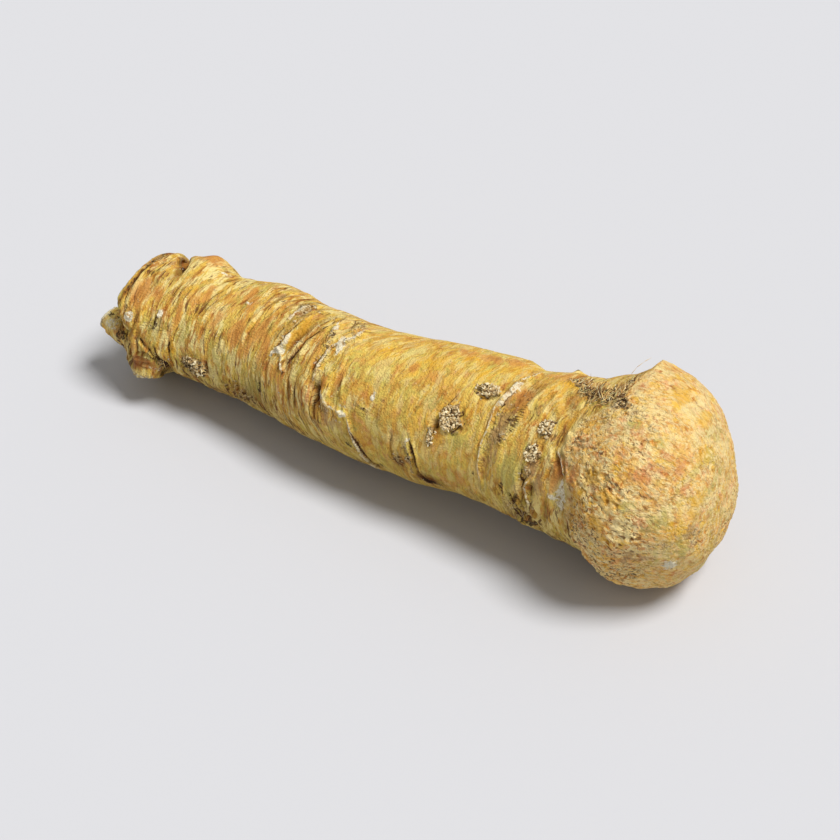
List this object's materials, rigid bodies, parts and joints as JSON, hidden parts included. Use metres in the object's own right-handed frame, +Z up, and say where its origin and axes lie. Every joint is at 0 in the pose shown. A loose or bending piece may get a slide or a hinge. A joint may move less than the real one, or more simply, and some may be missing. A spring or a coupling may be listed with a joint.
{
  "type": "horseradish root",
  "caption": "Fresh horseradish root lying on its side: a thick ringed taproot with a swollen corky crown and a cut lower end, for grating or display.",
  "frame": {"origin": "on the surface that the root lies on, under the middle of its box", "axes": "+X along the root from its cut lower end to its crown, +Z up"},
  "size_m": [0.2108, 0.0636, 0.064],
  "materials": {
    "root_skin": "dry satin skin, tan to golden yellow, with corky brown scars"
  },
  "bodies": {
    "root": {"horseradish_root": "root_skin"}
  },
  "joints": []
}
